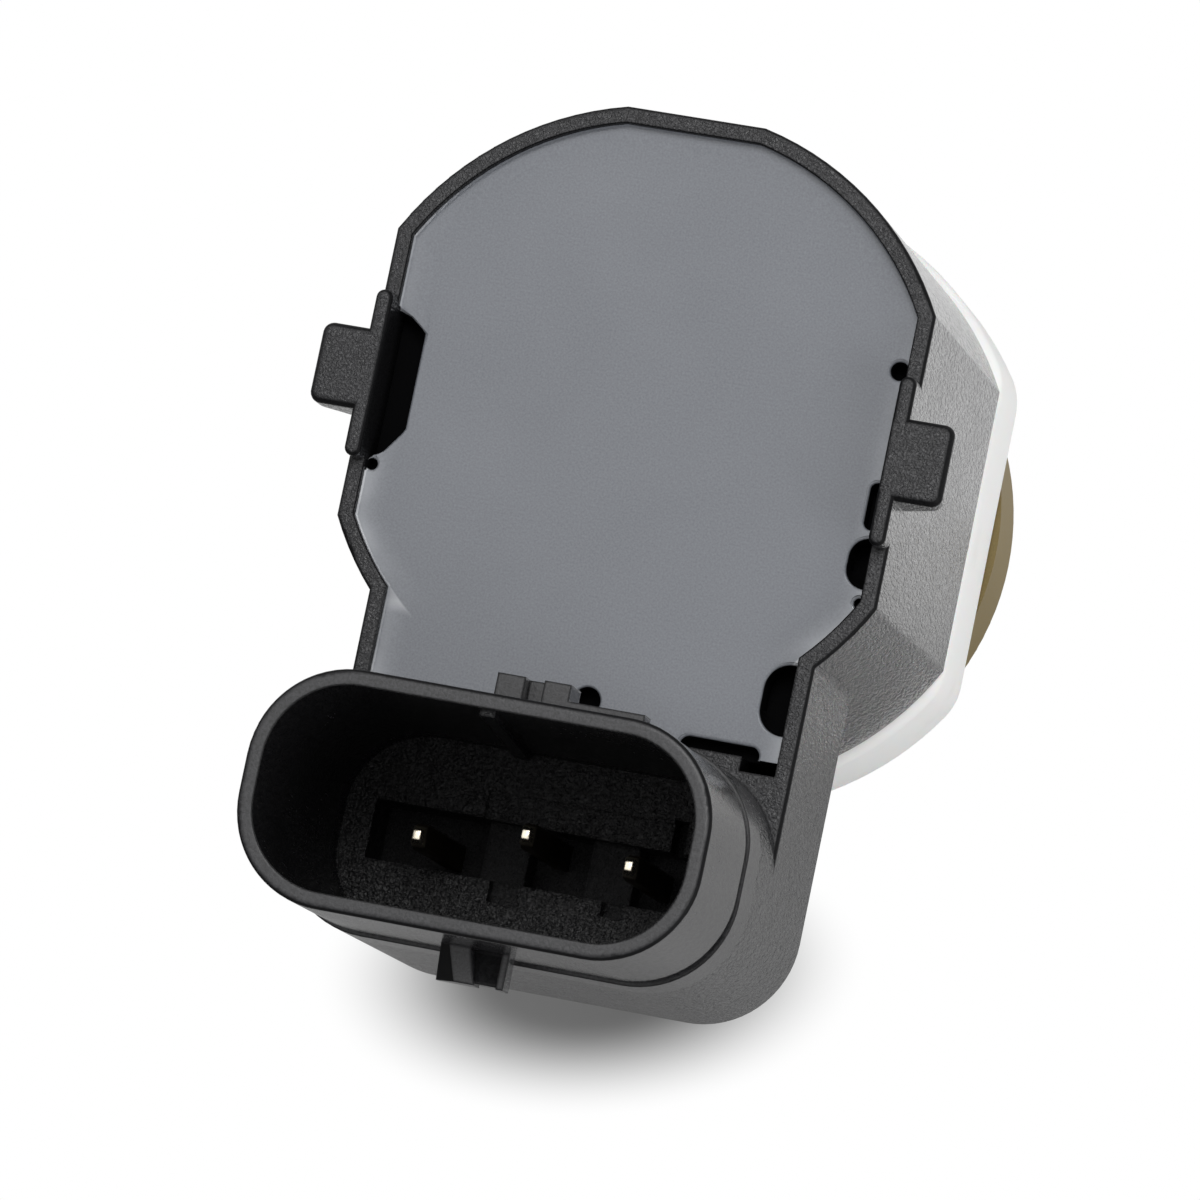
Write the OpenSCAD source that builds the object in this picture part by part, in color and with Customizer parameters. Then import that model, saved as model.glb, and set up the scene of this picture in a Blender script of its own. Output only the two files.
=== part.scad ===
// Ultrasonic parking sensor in millimetres: front face on z = 0, plug socket open to +Z on the -Y side.

/* [Body] */
// Width across the two side flats
body_w = 26; // [24:0.5:27]
// Radius of the round body
body_r = 14.72; // [14.5:0.02:15.6]
// Distance of the top flat from the axis
top_y = 14.34; // [13.9:0.02:14.4]
// Depth of the housing from its front edge to the rear rim
body_h = 18.2; // [17:0.2:20]
// Thickness of the outer walls at the rear rim
wall = 0.8; // [0.7:0.05:1]
// Rounding of the outer edges at the rear rim
rim_round = 0.25; // [0.1:0.05:0.4]
// Thickness of the partition between the front bore and the rear cavity
partition_t = 1.4; // [1:0.1:1.8]

/* [Front] */
// How far the painted front ring stands out beyond the side flats
front_over = 0.25; // [0:0.05:0.4]
// Height of the front ring
front_t = 4.2; // [3.4:0.1:4.8]
// Rounding of the front ring's outer edge
front_round = 0.5; // [0.3:0.1:1.2]
// Thickness of the white decoupling ring
ring_t = 5.8; // [5:0.1:6.5]
// How far the decoupling ring stands out from the round body
ring_over = 0.38; // [0:0.02:0.6]
// Rounding of the decoupling ring's round edges
ring_round = 0.5; // [0.3:0.1:1.4]
// Radius of the membrane cup
cup_r = 8; // [7.4:0.1:8.4]
// Height of the membrane cup
cup_h = 9; // [8.4:0.1:9.4]
// Wall of the membrane cup
cup_wall = 1.2; // [0.9:0.1:1.4]
// Thickness of the sounding membrane
membrane_t = 0.8; // [0.5:0.05:1]
// Thickness of the soft sleeve round the cup
sleeve_t = 1; // [0.7:0.1:1.4]
// How far the sleeve's front edge lies behind the front face
sleeve_drop = 0.3; // [0.1:0.05:0.5]
// Radius of the decoupling ring's spigot in the housing
spigot_r = 10.5; // [10:0.1:11]
// Length of the spigot
spigot_l = 3.4; // [2.8:0.1:3.8]
// Radius of the piezo disc
piezo_r = 3.5; // [3:0.1:3.8]
// Thickness of the piezo disc
piezo_t = 0.3; // [0.2:0.05:0.5]
// Thickness of the damping foam
foam_t = 3; // [2.4:0.1:3.4]
// Radius of the damping foam
foam_r = 5.6; // [4.8:0.1:6]

/* [Side lugs] */
// Length of a lug's bar along the rim
bar_l = 7.95; // [7:0.05:9]
// Height of the bar over the rear rim
bar_h = 1.2; // [0.8:0.05:1.6]
// Width of a lug's tongue along the rim
tongue_w = 3.85; // [3.2:0.05:4.4]
// Reach of the tongue beyond the side flat
tongue_reach = 2.2; // [1.6:0.05:2.6]
// Thickness of the tongue at its end
tongue_t = 0.9; // [0.6:0.05:1.2]
// Thickness of the tongue at its root
tongue_root = 3; // [2.4:0.1:3.4]
// Rounding of the bars' rear edges
lug_round = 0.28; // [0.1:0.02:0.35]
// Rounding of the tongues' rear edges
tongue_round = 0.42; // [0.2:0.02:0.5]

/* [Plug socket] */
// Outer width of the socket and of the lower portion
plug_w = 21.45; // [20.6:0.05:22]
// Outer height of the socket
plug_d = 10.86; // [10.4:0.02:11.4]
// Corner radius of the socket
plug_corner = 4.56; // [4:0.02:4.8]
// Height of the socket over the rear rim
plug_h = 14.2; // [12:0.1:16]
// Distance of the socket's middle from the body's axis
plug_y = 20.87; // [20.6:0.01:21.6]
// Wall of the socket
plug_wall = 0.75; // [0.65:0.05:1]
// How far the lower portion stands out below and above the socket
foot_over = 0.15; // [0:0.05:0.3]
// Depth of the lower portion
leg_h = 9.05; // [8.6:0.05:10]
// How far the socket's floor lies below the rear rim
floor_drop = 1.2; // [0.8:0.05:1.6]
// Depth of the trough round the contacts
trough_h = 3; // [2.4:0.1:3.2]
// Width of the trough
trough_w = 2.8; // [2.4:0.05:3.2]
// Distance of the trough's ends from the socket's inner wall
trough_end = 1.375; // [1:0.025:1.8]
// Width of the groove round the socket
groove_w = 0.8; // [0.5:0.05:1]
// Reach of the latch blocks from the socket
latch_reach = 1.65; // [1.2:0.05:2]
// Reach of the low step beside the upper latch block
step_reach = 0.9; // [0.5:0.05:1.2]

/* [Contacts] */
// Spacing of the contacts
pitch = 5; // [4.6:0.05:5.2]
// Thickness of a contact blade
blade_t = 0.64; // [0.5:0.02:0.8]
// Width of a contact blade
blade_w = 1.2; // [1:0.05:1.4]
// Height of the contact tips over the rear rim
tip_h = 4; // [3:0.1:6]

/* [Board and potting] */
// Thickness of the circuit board
board_t = 1.2; // [1:0.1:1.4]
// Gap between the board's edge and the pocket's wall
board_gap = 0.4; // [0.3:0.05:0.6]
// Distance of the potting's surface below the rear rim
pot_drop = 0.6; // [0.4:0.05:0.9]
// Radius of the potting's rise towards the walls
creep_r = 8; // [6:0.5:10]
// Width of that rise
creep_w = 1.5; // [1:0.1:1.8]
// Thin bead of potting at the wall
bead = 0.1; // [0.06:0.02:0.16]
// Radius of the transducer pins
pin_r = 0.35; // [0.25:0.05:0.45]
// Radius of the lead wires
lead_r = 0.14; // [0.1:0.02:0.2]

/* [Hidden] */
$fn = 96;

// Far cut length used by through holes
far = 60;
// Small run-out of a cut beyond a face
out = 1;

// Levels along Z
z_ring = front_t;
z_body = front_t + ring_t;
z_rim = z_body + body_h;
z_partition = z_body + spigot_l;
z_cavity = z_partition + partition_t;
z_leg = z_rim - leg_h;
z_board = z_leg + 1.85;
z_parts = z_board + board_t;
z_pot = z_rim - pot_drop;
creep = creep_r - sqrt(creep_r * creep_r - (creep_w - bead) * (creep_w - bead));
z_bar = z_rim + bar_h;
z_plug = z_rim + plug_h;
z_floor = z_rim - floor_drop;
z_trough = z_floor - trough_h;
z_run = z_parts + 0.4;
z_tip = z_rim + tip_h;
z_groove = z_rim + 5.6;
z_latch_top = z_rim + 8.2;
z_latch_under = z_rim + 9.2;

// Widths and reaches in the plan
half_w = body_w / 2;
front_r = half_w + front_over;
in_w = half_w - wall;
in_r = body_r - wall;
in_top = top_y - wall;
leg_half = plug_w / 2;
plug_top = -plug_y + plug_d / 2;
plug_low = -plug_y - plug_d / 2;
leg_d = plug_d + 2 * foot_over;
pocket_end = plug_top + 0.75;
notch_end = plug_top + 0.08;
leg_in = leg_half - wall;
ledge = 1.4;
bar_y = -0.22;
tongue_y = -0.08;

// Contacts: shift of each blade from the socket's middle line, because they don't stand in one row
blade_shift = [-0.42, 0.5, -0.07];
tail_y = -9.5;
lead_y = 0;
pin_x = 2.54;
ground_x = 4.6;
pin_front = cup_h - 0.8;
bend_z = cup_h - 2.2;

// A place on the board, in shares of the pocket's half width
function spot(u, v) = [u * in_w, v * in_w];

// Sizes of the parts on the board
bobbin_w = 7;
bobbin_t = 0.8;
hub_r = 1.6;
core_r = 1;
coil_r = 2.9;
coil_h = 2.6;
bobbin_at = spot(-0.44, 0.44);
chip_at = spot(0.43, 0.46);
chip_l = 8.6;
chip_w = 3.9;
chip_h = 1.4;
chip_lift = 0.2;
cap_t = 0.5;
cap_over = 0.3;
supply_l = 6;
supply_w = 3.2;
supply_h = 2.4;
tuning_l = 4.8;
tuning_w = 3.4;
tuning_h = 2;
diode_l = 4.2;
diode_w = 2.6;
diode_h = 2;
small_l = 1.6;
small_w = 0.8;
small_h = 0.8;
flat_h = 0.45;
lip = 0.15;

// Colours
black = [0.12, 0.12, 0.13];
grey = [0.5, 0.51, 0.53];
bronze = [0.52, 0.47, 0.35];
white = [0.92, 0.92, 0.92];
green = [0.1, 0.35, 0.2];
metal = [0.75, 0.72, 0.62];
copper = [0.72, 0.4, 0.22];

// Plan of a round body with two side flats and a top flat
module flat_round(r, w, top) {
  intersection() {
    circle(r);
    translate([-w, -far / 2]) square([2 * w, far / 2 + top]);
  }
}

// Plan of a rectangle with round corners about the origin
module round_rect(w, d, r) {
  square([w - 2 * r, d], center = true);
  square([w, d - 2 * r], center = true);
  for (sx = [-1, 1], sy = [-1, 1]) {
    translate([sx * (w / 2 - r), sy * (d / 2 - r)]) circle(r);
  }
}

// Half of a wall's section with its rear outer edge rounded
module edge_section(w, h, a) {
  square([w - a, h]);
  square([w, h - a]);
  translate([w - a, h - a]) intersection() {
    circle(a);
    square(a);
  }
}

// A full section of that kind about the axis
module both_section(w, h, a) {
  edge_section(w, h, a);
  mirror([1, 0]) edge_section(w, h, a);
}

// A box with round corners in the plan and its rear outer edge rounded
module round_top_box(w, d, r, h, a) {
  translate([0, d / 2 - r, 0]) rotate([90, 0, 0]) linear_extrude(d - 2 * r) both_section(w / 2, h, a);
  translate([r - w / 2, 0, 0]) rotate([90, 0, 90]) linear_extrude(w - 2 * r) both_section(d / 2, h, a);
  for (sx = [-1, 1], sy = [-1, 1]) {
    translate([sx * (w / 2 - r), sy * (d / 2 - r), 0]) rotate_extrude() edge_section(r, h, a);
  }
}

// A round body with side flats, a top flat and its rear outer edges rounded
module flat_body(r, w, top, h, a) {
  intersection() {
    rotate_extrude() edge_section(r, h, a);
    translate([0, far / 2, 0]) rotate([90, 0, 0]) linear_extrude(far) both_section(w, h, a);
    translate([-far / 2, 0, 0]) rotate([90, 0, 90]) linear_extrude(far) {
      edge_section(top, h, a);
      translate([-far, 0]) square([far + 1, h]);
    }
  }
}

// Round body with its side flats and top flat
module body() {
  translate([0, 0, z_body]) flat_body(body_r, half_w, top_y, body_h, rim_round);
}

// Lower portion that carries the plug socket
module leg() {
  translate([0, -body_r / 2, z_leg]) rotate([90, 0, 0]) linear_extrude(plug_y - body_r / 2) {
    both_section(leg_half, leg_h, rim_round);
  }
}

// Plan of the pocket that the potting fills, grown inwards by a gap
module pocket_plan(gap) {
  flat_round(in_r - gap, in_w - gap, in_top - gap);
  translate([-leg_in + gap, pocket_end + gap]) square([2 * (leg_in - gap), -pocket_end - gap - body_r / 2]);
}

// Notches at the pocket's lower corners
module pocket_notches(h) {
  for (s = [-1, 1]) {
    translate([s * (leg_in - 0.85) - 0.85, notch_end, 0]) cube([1.7, pocket_end - notch_end + 0.1, h]);
  }
}

// One side lug on the +X side: bar on the rim and tongue with a ramped underside
module lug() {
  corner = tongue_round + 0.1;
  reach = half_w + tongue_reach;
  box_l = 2 * tongue_reach;
  translate([in_w + wall / 2, bar_y, z_rim - wall]) {
    round_top_box(wall, bar_l, wall / 2 - 0.02, wall + bar_h, lug_round);
  }
  intersection() {
    translate([0, far / 2, 0]) rotate([90, 0, 0]) linear_extrude(far) {
      polygon([[in_w + 0.1, z_bar + out], [reach + out, z_bar + out], [reach + out, z_bar - tongue_t],
        [reach, z_bar - tongue_t], [half_w, z_bar - tongue_root], [in_w + 0.1, z_bar - tongue_root]]);
    }
    translate([reach - box_l / 2, tongue_y, z_rim - wall - tongue_root]) {
      round_top_box(box_l, tongue_w, corner, tongue_root + wall + bar_h, tongue_round);
    }
  }
}

// A latch block of two ribs with a slot between them, standing towards +Y from y = 0
module latch(left, slot_a, slot_b, right, top, depth) {
  low = top - depth;
  translate([left, -0.2, low]) cube([slot_a - left, latch_reach + 0.2, depth]);
  translate([slot_b, -0.2, low]) cube([right - slot_b, latch_reach + 0.2, depth]);
  translate([left, -0.2, low]) cube([right - left, latch_reach + 0.2, depth / 2]);
}

// The lower latch block, towards +Y from y = 0: a slanting ridge with a sloping flank, a ramp and a thin rib
module nub(top, depth) {
  low = top - depth;
  difference() {
    translate([0, 0, low]) linear_extrude(depth) {
      polygon([[-1.56, -0.2], [-0.1, -0.2], [-0.1, 0], [0.4, latch_reach], [-1.56, latch_reach]]);
    }
    translate([-1.1, 0, top]) rotate([0, 0, -18.4]) rotate([0, -38, 0]) translate([-5, -3, 0]) cube([5, 8, 5]);
  }
  translate([-0.2, 0, 0]) rotate([90, 0, 90]) linear_extrude(1.7) {
    polygon([[-0.2, low], [latch_reach - 0.1, low], [latch_reach - 0.1, top - 0.2], [0, top - 0.9],
      [-0.2, top - 0.9]]);
  }
  translate([1.4, -0.2, low]) cube([0.34, latch_reach + 0.2, depth]);
}

// A low step beside the upper latch block
module latch_step() {
  translate([1.7, -0.2, z_latch_top - 1.2]) cube([3.65, step_reach + 0.2, 1.2]);
}

// The socket's outer form with its foot and the groove round it
module shroud() {
  translate([0, -plug_y, z_leg]) linear_extrude(z_groove - z_leg) round_rect(plug_w, leg_d, plug_corner);
  translate([0, -plug_y, z_groove - 0.1]) linear_extrude(groove_w + 0.2) {
    round_rect(plug_w - 0.6, plug_d - 0.6, plug_corner - 0.3);
  }
  translate([0, -plug_y, z_groove + groove_w]) {
    round_top_box(plug_w, plug_d, plug_corner, z_plug - z_groove - groove_w, rim_round);
  }
}

// The socket's hollow with its floor, trough and keyways
module socket_hollow() {
  inner_w = plug_w - 2 * plug_wall;
  inner_d = plug_d - 2 * plug_wall;
  inner_r = plug_corner - plug_wall;
  trough_l = inner_w / 2 - trough_end;
  translate([0, -plug_y, z_floor]) linear_extrude(far) round_rect(inner_w, inner_d, inner_r);
  difference() {
    translate([-trough_l, -plug_y - trough_w / 2, z_trough]) cube([2 * trough_l, trough_w, far]);
    translate([-pitch * 0.66, -plug_y - trough_w, 0]) cube([pitch * 0.42, 2 * trough_w, z_floor - 1.2]);
    translate([pitch * 0.34, -plug_y - trough_w, 0]) cube([pitch * 0.44, 2 * trough_w, z_floor - 1.2]);
  }
  translate([-2.5, -plug_y - trough_w / 2 - 1, z_floor - 0.8]) cube([1.4, 1.1, far]);
  translate([2.9, -plug_y - trough_w / 2 - 0.7, z_floor - 0.8]) cube([1, 0.8, far]);
  translate([5.5, -plug_y + trough_w / 2 - 0.1, z_floor - 1.5]) cube([0.7, 1.6, far]);
  translate([-3.4, -plug_y + trough_w / 2 - 0.1, z_floor - 0.25]) cube([9, 1.4, far]);
}

// A slanting guide rib on the socket's upper inner wall
module guide_rib() {
  top = plug_top - plug_wall + 0.1;
  translate([0, top, 0]) rotate([90, 0, 0]) linear_extrude(0.4) {
    polygon([[-0.7, z_plug - 0.4], [0, z_plug - 0.4], [-1.84, z_floor - 0.1], [-2.54, z_floor - 0.1]]);
  }
}

// The bent blade of one contact: tip in the socket, run through the housing, tail in the board
module blade(x, shift) {
  y = -plug_y + shift;
  run_top = z_run + blade_t;
  tail_z = z_board - 0.8;
  translate([x, y, 0]) intersection() {
    translate([0, far / 2, 0]) rotate([90, 0, 0]) linear_extrude(far) {
      polygon([[-blade_t / 2, z_run], [blade_t / 2, z_run], [blade_t / 2, z_tip - 0.5],
        [blade_t * 0.32, z_tip], [-blade_t * 0.32, z_tip], [-blade_t / 2, z_tip - 0.5]]);
    }
    translate([-far / 2, 0, 0]) rotate([90, 0, 90]) linear_extrude(far) {
      polygon([[-blade_w / 2, z_run], [blade_w / 2, z_run], [blade_w / 2, z_tip - 1],
        [blade_w * 0.2, z_tip], [-blade_w * 0.2, z_tip], [-blade_w / 2, z_tip - 1]]);
    }
  }
  translate([x - blade_t / 2, y - blade_w / 2, z_run]) cube([blade_t, tail_y - y + blade_w / 2, blade_t]);
  translate([x - blade_t / 2, tail_y - blade_t, tail_z]) cube([blade_t, blade_t, run_top - tail_z]);
}

module blades() {
  for (i = [0:2]) {
    blade((i - 1) * pitch, blade_shift[i]);
  }
}

// Two round pins between the transducer and the board
module pins() {
  for (s = [-1, 1]) {
    translate([s * pin_x, lead_y, pin_front]) cylinder(r = pin_r, h = z_parts + 0.6 - pin_front);
  }
}

module signal_wire() {
  low = membrane_t + piezo_t;
  translate([pin_x, lead_y, low]) cylinder(r = lead_r, h = pin_front - low);
}

module ground_wire() {
  translate([-ground_x, lead_y, membrane_t]) cylinder(r = lead_r, h = bend_z - membrane_t);
  translate([-ground_x, lead_y, bend_z]) sphere(lead_r);
  translate([-ground_x, lead_y, bend_z]) rotate([0, 90, 0]) cylinder(r = lead_r, h = ground_x - pin_x);
  translate([-pin_x, lead_y, bend_z]) sphere(lead_r);
  translate([-pin_x, lead_y, bend_z]) cylinder(r = lead_r, h = pin_front - bend_z);
}

module housing() {
  color(black) difference() {
    union() {
      body();
      leg();
      shroud();
      translate([0, plug_top, 0]) latch(-1.7, -0.4, 0.5, 1.75, z_latch_top, 2);
      translate([0, plug_top, 0]) latch_step();
      translate([0, plug_low, 0]) mirror([0, 1, 0]) nub(z_latch_under, 1.1);
      lug();
      mirror([1, 0, 0]) lug();
    }
    translate([0, 0, z_body - out]) cylinder(r = spigot_r, h = spigot_l + out);
    translate([0, 0, z_cavity]) linear_extrude(z_board - z_cavity + out) {
      flat_round(in_r - ledge, in_w - ledge, in_top - ledge);
    }
    translate([0, 0, z_board]) linear_extrude(z_rim - z_board + out) pocket_plan(0);
    translate([0, 0, z_board]) pocket_notches(z_rim - z_board + out);
    difference() {
      socket_hollow();
      guide_rib();
    }
    blades();
    pins();
  }
}

module potting() {
  color(grey) difference() {
    translate([0, 0, z_parts]) linear_extrude(z_pot + creep + bead - z_parts) pocket_plan(0);
    scoop();
    blades();
    pins();
    chip();
    bobbin();
    coil();
    core();
    supply();
    tuning();
    diode();
    ceramics();
    chips_r();
    voids();
  }
}

// Half section of the space over the potting: level, then a wide arc and a thin bead at the wall
module creep_section(w, h) {
  level = w - creep_w;
  square([level, h]);
  square([w, h - creep - bead]);
  square([w - bead, h - creep]);
  intersection() {
    translate([level, h - creep_r]) circle(creep_r);
    translate([level, 0]) square([creep_w - bead, h]);
  }
  translate([w - bead, h - creep - bead]) intersection() {
    circle(bead);
    square(bead);
  }
}

// A full section of that kind about the axis
module both_creep(w, h) {
  creep_section(w, h);
  mirror([1, 0]) creep_section(w, h);
}

// The space over the potting
module scoop() {
  h = far / 2;
  translate([0, 0, z_pot + h]) mirror([0, 0, 1]) {
    intersection() {
      rotate_extrude() creep_section(in_r, h);
      translate([0, far / 2, 0]) rotate([90, 0, 0]) linear_extrude(far) both_creep(in_w, h);
      translate([-far / 2, 0, 0]) rotate([90, 0, 90]) linear_extrude(far) {
        creep_section(in_top, h);
        translate([-far, 0]) square([far + 1, h]);
      }
    }
    intersection() {
      rotate([90, 0, 0]) linear_extrude(-pocket_end + out) both_creep(leg_in, h);
      translate([-far / 2, 0, 0]) rotate([90, 0, 90]) linear_extrude(far) {
        mirror([1, 0]) creep_section(-pocket_end, h);
      }
    }
  }
}

// Half section of a void whose mouth is rounded
module void_section(r, depth) {
  difference() {
    union() {
      translate([0, -depth]) square([r, depth + far / 2]);
      translate([0, -lip]) square([r + lip, far / 2]);
    }
    translate([r + lip, -lip]) circle(lip);
  }
}

// A round void in the potting's surface
module round_void(at, r, depth) {
  translate([at[0], at[1], z_pot]) rotate_extrude() void_section(r, depth);
}

// A long void along Y in the potting's surface
module long_void(at, r, l, depth, turn) {
  translate([at[0], at[1], z_pot]) rotate([0, 0, turn]) {
    for (s = [-1, 1]) {
      translate([0, s * l / 2, 0]) rotate_extrude() void_section(r, depth);
    }
    translate([0, l / 2, 0]) rotate([90, 0, 0]) linear_extrude(l) {
      void_section(r, depth);
      mirror([1, 0]) void_section(r, depth);
    }
  }
}

// Voids in the potting's surface along the wall, the first a shallow lens beside the left lug
module voids() {
  lens_r = 5.15;
  round_void([1.4 - in_w - lens_r, -0.033 * in_w], lens_r, 1.2);
  round_void([0.2 - in_w, -0.344 * in_w], 0.26, 0.8);
  round_void([in_w - 0.45, 0.344 * in_w], 0.42, 1.2);
  long_void([in_w - 0.35, -0.18 * in_w], 0.34, 1.5, 1, 0);
  long_void([in_w - 0.15, -0.4 * in_w], 0.92, 0.5, 1.6, 0);
  round_void([in_w - 0.15, -0.553 * in_w], 0.24, 0.8);
  long_void([leg_in - 0.25, -0.962 * in_w], 1.2, 0.9, 1.6, 0);
  round_void([0.4, pocket_end + 1.35], 0.62, 1.2);
  long_void([leg_in * 0.705, pocket_end + 0.15], 0.42, 2.9, 1, 90);
}

module circuit_board() {
  color(green) difference() {
    translate([0, 0, z_board]) linear_extrude(board_t) pocket_plan(board_gap);
    blades();
    pins();
  }
}

// A block of the board's size list standing on the board at a plan position
module block(at, l, w, h) {
  translate([at[0] - l / 2, at[1] - w / 2, z_parts]) cube([l, w, h]);
}

module chip() {
  translate([0, 0, chip_lift]) block(chip_at, chip_l, chip_w, chip_h);
  for (i = [0:6], s = [-1, 1]) {
    x = chip_at[0] + (i - 3) * 1.2;
    y = chip_at[1] + s * (chip_w / 2 + 0.1);
    translate([x - 0.2, y - 0.2, z_parts + 0.2]) cube([0.4, 0.4, 0.6]);
    translate([x - 0.2, y + s * 0.3 - 0.5, z_parts]) cube([0.4, 1, 0.2]);
  }
}

module control_chip() {
  color(black) chip();
}

module bobbin() {
  translate([bobbin_at[0], bobbin_at[1], z_parts]) difference() {
    union() {
      translate([-bobbin_w / 2, -bobbin_w / 2, 0]) cube([bobbin_w, bobbin_w, bobbin_t]);
      cylinder(r = hub_r, h = bobbin_t + coil_h);
    }
    translate([0, 0, -out]) cylinder(r = core_r, h = far);
  }
}

module transformer_bobbin() {
  color(black) bobbin();
}

module coil() {
  translate([bobbin_at[0], bobbin_at[1], z_parts + bobbin_t]) difference() {
    cylinder(r = coil_r, h = coil_h);
    translate([0, 0, -out]) cylinder(r = hub_r, h = far);
  }
}

module transformer_winding() {
  color(copper) coil();
}

module core() {
  translate([bobbin_at[0], bobbin_at[1], z_parts]) cylinder(r = core_r, h = bobbin_t + coil_h + cap_t / 2);
  cap_z = z_parts + bobbin_t + coil_h;
  translate([bobbin_at[0], bobbin_at[1], cap_z]) cylinder(r = coil_r + cap_over, h = cap_t);
}

module transformer_core() {
  color(grey) core();
}

module supply() {
  block(spot(0.51, -0.115), supply_l, supply_w, supply_h);
}

module supply_capacitor() {
  color(bronze) supply();
}

module tuning() {
  block(spot(-0.54, -0.28), tuning_l, tuning_w, tuning_h);
}

module tuning_capacitor() {
  color(white) tuning();
}

module diode() {
  block(spot(0.46, -0.49), diode_l, diode_w, diode_h);
}

module protection_diode() {
  color(black) diode();
}

module ceramics() {
  for (at = [spot(-0.045, 0.377), spot(-0.045, 0.525), spot(-0.05, -0.213), spot(-0.05, -0.36)]) {
    block(at, small_l, small_w, small_h);
  }
}

module ceramic_capacitors() {
  color(bronze) ceramics();
}

module chips_r() {
  for (u = [0, 0.246, 0.492], v = [0.787]) {
    block(spot(u, v), small_l, small_w, flat_h);
  }
  for (at = [spot(-0.54, -0.574), spot(-0.262, -0.574), spot(0.016, -0.574)]) {
    block(at, small_l, small_w, flat_h);
  }
}

module resistors() {
  color(black) chips_r();
}

module contact_left() {
  color(metal) blade(-pitch, blade_shift[0]);
}

module contact_middle() {
  color(metal) blade(0, blade_shift[1]);
}

module contact_right() {
  color(metal) blade(pitch, blade_shift[2]);
}

module membrane_cup() {
  color(bronze) difference() {
    cylinder(r = cup_r, h = cup_h);
    translate([0, 0, membrane_t]) cylinder(r = cup_r - cup_wall, h = far);
  }
}

module piezo_disc() {
  color(metal) translate([0, 0, membrane_t]) cylinder(r = piezo_r, h = piezo_t);
}

module damping_foam() {
  color(grey) difference() {
    translate([0, 0, membrane_t + piezo_t]) cylinder(r = foam_r, h = foam_t);
    signal_wire();
    ground_wire();
  }
}

module cup_seal() {
  seal_z = membrane_t + piezo_t + foam_t;
  color(white) difference() {
    translate([0, 0, seal_z]) cylinder(r = cup_r - cup_wall, h = cup_h - seal_z);
    signal_wire();
    ground_wire();
    pins();
  }
}

module transducer_carrier() {
  color(black) difference() {
    translate([0, 0, cup_h]) cylinder(r = cup_r, h = z_partition - cup_h);
    pins();
  }
}

module transducer_pins() {
  color(metal) pins();
}

module signal_lead() {
  color(copper) signal_wire();
}

module ground_lead() {
  color(black) ground_wire();
}

module decoupling_ring() {
  ring_r = body_r + ring_over;
  a = ring_round;
  color(white) difference() {
    union() {
      translate([0, 0, sleeve_drop]) cylinder(r = cup_r + sleeve_t, h = z_ring - sleeve_drop + out);
      intersection() {
        translate([0, 0, z_ring]) linear_extrude(ring_t) flat_round(ring_r, half_w, far / 2);
        rotate_extrude() {
          translate([0, z_ring]) square([ring_r - a, ring_t]);
          translate([0, z_ring + a]) square([ring_r, ring_t - 2 * a]);
          translate([ring_r - a, z_ring + a]) circle(a);
          translate([ring_r - a, z_body - a]) circle(a);
        }
      }
      translate([0, 0, z_body - out]) cylinder(r = spigot_r, h = spigot_l + out);
    }
    translate([0, 0, -out]) cylinder(r = cup_r, h = far);
  }
}

module front_ring() {
  a = front_round;
  color(bronze) rotate_extrude() {
    difference() {
      union() {
        square([front_r - a, front_t]);
        translate([0, a]) square([front_r, front_t - a]);
        translate([front_r - a, a]) circle(a);
      }
      translate([-out, -out]) square([cup_r + sleeve_t + out, far]);
    }
  }
}

housing();
potting();
circuit_board();
control_chip();
transformer_bobbin();
transformer_winding();
transformer_core();
supply_capacitor();
tuning_capacitor();
protection_diode();
ceramic_capacitors();
resistors();
contact_left();
contact_middle();
contact_right();
membrane_cup();
piezo_disc();
damping_foam();
cup_seal();
transducer_carrier();
transducer_pins();
signal_lead();
ground_lead();
decoupling_ring();
front_ring();
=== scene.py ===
"""Looks of an ultrasonic parking sensor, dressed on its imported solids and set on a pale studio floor."""

import logging
from dataclasses import dataclass
from enum import Enum
from math import atan2, cos, pi, radians, sin, sqrt
from typing import Dict, List, Optional, Sequence, Tuple, Union

import bmesh
import bpy
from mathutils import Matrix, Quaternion, Vector


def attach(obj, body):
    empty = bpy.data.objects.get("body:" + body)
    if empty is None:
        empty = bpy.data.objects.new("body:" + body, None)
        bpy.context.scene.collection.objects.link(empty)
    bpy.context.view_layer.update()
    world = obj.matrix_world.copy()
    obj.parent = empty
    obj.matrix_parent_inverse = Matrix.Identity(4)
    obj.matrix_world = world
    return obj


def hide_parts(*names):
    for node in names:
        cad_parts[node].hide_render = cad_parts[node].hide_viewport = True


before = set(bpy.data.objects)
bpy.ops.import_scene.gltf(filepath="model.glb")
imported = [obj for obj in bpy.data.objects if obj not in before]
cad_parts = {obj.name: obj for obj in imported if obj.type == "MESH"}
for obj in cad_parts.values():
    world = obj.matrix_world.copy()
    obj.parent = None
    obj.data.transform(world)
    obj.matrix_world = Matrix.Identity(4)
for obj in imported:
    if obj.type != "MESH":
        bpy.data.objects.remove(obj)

LOG = logging.getLogger("parking_sensor")
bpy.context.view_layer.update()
BODY = "root"
MM = 0.001
BEVEL_SAMPLES = 6
EDGE_TURN = (0.997, 0.88)
NOISE_RANGE = (0.3, 0.7)
RESIN_IOR = 1.52
PLAIN_SHARP_DEG = 40.0

Colour = Tuple[float, float, float]
Socket = bpy.types.NodeSocket
Value = Union[float, Socket]


class Slot(Enum):
    """Material slot names of the record; no piece in this script takes its finish from them."""

    CASTING = "potting_resin"
    SOFT = "soft_white"
    CONTACT = "contact_metal"


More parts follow.
